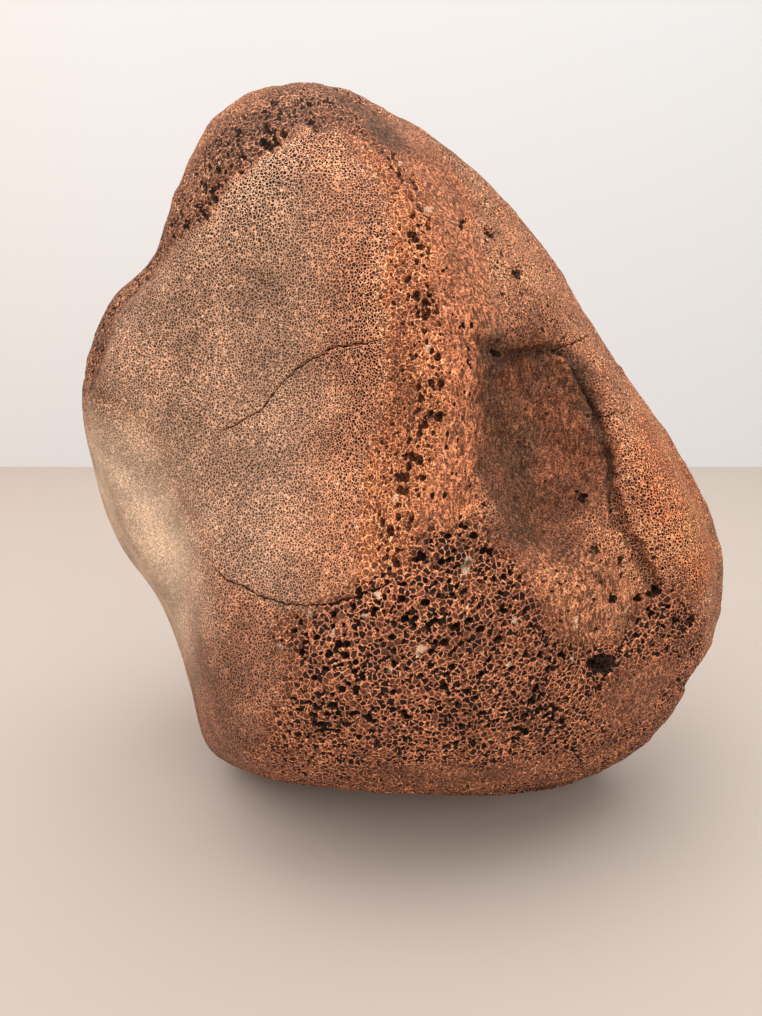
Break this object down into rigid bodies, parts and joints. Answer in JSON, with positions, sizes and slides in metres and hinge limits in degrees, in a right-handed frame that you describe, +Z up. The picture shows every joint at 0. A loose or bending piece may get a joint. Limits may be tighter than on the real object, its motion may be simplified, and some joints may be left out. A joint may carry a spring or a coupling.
{
  "type": "fossil mammoth ankle bone",
  "caption": "Blocky fossil foot bone with a broad hollow joint face, a rough pit, a small joint face and open spongy bone, standing on its lower edge.",
  "frame": {"origin": "centre of the bounding box, at the level of the flat that the bone rests on", "axes": "+Z up, +X to the right and -Y towards the viewer of the pictured side"},
  "size_m": [0.1392, 0.0994, 0.1484],
  "materials": {
    "bone": "dry, porous, matt brown fossil bone"
  },
  "bodies": {
    "root": {"bone": "bone"}
  },
  "joints": []
}
